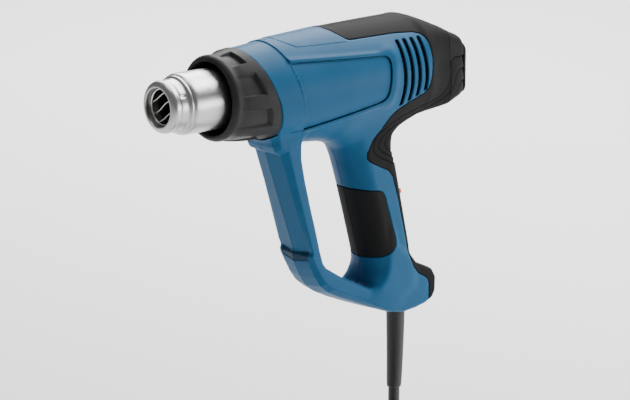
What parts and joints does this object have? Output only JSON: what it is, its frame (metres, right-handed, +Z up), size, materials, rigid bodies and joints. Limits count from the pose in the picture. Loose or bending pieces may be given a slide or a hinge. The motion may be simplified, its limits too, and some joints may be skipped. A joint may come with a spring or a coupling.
{
  "type": "heat gun",
  "caption": "Corded pistol heat gun with a closed D-handle, stepped steel nozzle tube, ribbed heat guard and soft-touch grip.",
  "frame": {"origin": "centre of the hand grip", "axes": "+X along the barrel towards the rear, nozzle towards -X, +Z up, symmetry plane Y = 0"},
  "size_m": [0.246, 0.168, 0.311],
  "materials": {
    "housing_blue": "satin blue moulded plastic",
    "soft_grip": "charcoal soft-touch overmould",
    "rear_plastic": "charcoal moulded plastic",
    "guard_plastic": "charcoal heat-resistant plastic",
    "nozzle_steel": "deep-drawn stainless steel",
    "bar_steel": "bright steel strip",
    "mica": "mica sheet",
    "ceramic": "unglazed heater ceramic",
    "heater_wire": "oxidised resistance wire",
    "motor_steel": "plated steel can",
    "magnet": "ferrite",
    "copper": "enamelled copper winding",
    "shaft_steel": "ground steel",
    "bronze": "sintered bronze",
    "dark_plastic": "glass-filled plastic",
    "board": "solder-masked board",
    "components": "moulded components",
    "heat_sink": "extruded aluminium",
    "lens": "smoked window",
    "lcd": "liquid crystal glass",
    "red_switch": "red moulded slider",
    "key_plastic": "grey moulded keys",
    "screw_steel": "zinc-plated steel",
    "wire_red": "silicone wire",
    "wire_white": "glass-braid wire",
    "lead_rubber": "rubber-sheathed lead",
    "tie": "hook-and-loop strap",
    "plug_rubber": "moulded plug",
    "pin_metal": "nickel-plated brass"
  },
  "bodies": {
    "gun": {"left_housing": "housing_blue", "right_housing": "housing_blue", "left_overmould": "soft_grip", "right_overmould": "soft_grip", "left_grip_pad": "soft_grip", "right_grip_pad": "soft_grip", "rear_cap": "rear_plastic", "intake_grille": "dark_plastic", "rest_ring": "soft_grip", "nozzle_tube": "nozzle_steel", "mouth_bars": "bar_steel", "mica_sleeve": "mica", "heater_core": "ceramic", "heater_windings": "heater_wire", "thermocouple": "shaft_steel", "heater_socket": "ceramic", "fan_shroud": "dark_plastic", "motor_can": "motor_steel", "motor_magnets": "magnet", "motor_bearings": "bronze", "motor_end_plate": "dark_plastic", "motor_mount": "soft_grip", "control_board": "board", "board_parts": "components", "heat_sink": "heat_sink", "display_lens": "lens", "display_module": "lcd", "switch_body": "dark_plastic", "key_board": "board", "cord_clamp": "dark_plastic", "clamp_screws": "screw_steel", "housing_screws": "screw_steel", "motor_wires": "wire_red", "heater_wires": "wire_white", "lead_end": "lead_rubber", "strain_relief": "lead_rubber", "mains_cord": "lead_rubber", "cord_tail": "lead_rubber", "cord_coil": "lead_rubber", "coil_tie": "tie", "plug_body": "plug_rubber", "plug_pins": "pin_metal"},
    "fan": {"impeller": "dark_plastic", "motor_shaft": "shaft_steel", "armature": "copper"},
    "stage_switch": {"switch_slider": "red_switch"},
    "plus_key": {"plus_button": "key_plastic"},
    "minus_key": {"minus_button": "key_plastic"},
    "guard": {"heat_guard": "guard_plastic"}
  },
  "joints": [
    {"name": "fan_spin", "type": "hinge", "parent": "gun", "child": "fan", "pos_m": [-0.05, 0, 0.095], "axis": [1, 0, 0], "continuous": true},
    {"name": "stage_switch_slide", "type": "slide", "parent": "gun", "child": "stage_switch", "axis": [0.2198, 0, -0.9755], "range_m": [0, 0.009]},
    {"name": "plus_key_press", "type": "slide", "parent": "gun", "child": "plus_key", "axis": [-0.9755, 0, -0.2198], "range_m": [0, 0.0008], "stiffness_N_per_m": 900},
    {"name": "minus_key_press", "type": "slide", "parent": "gun", "child": "minus_key", "axis": [-0.9755, 0, -0.2198], "range_m": [0, 0.0008], "stiffness_N_per_m": 900},
    {"name": "guard_pull_off", "type": "slide", "parent": "gun", "child": "guard", "axis": [-1, 0, 0], "range_m": [0, 0.05]}
  ]
}
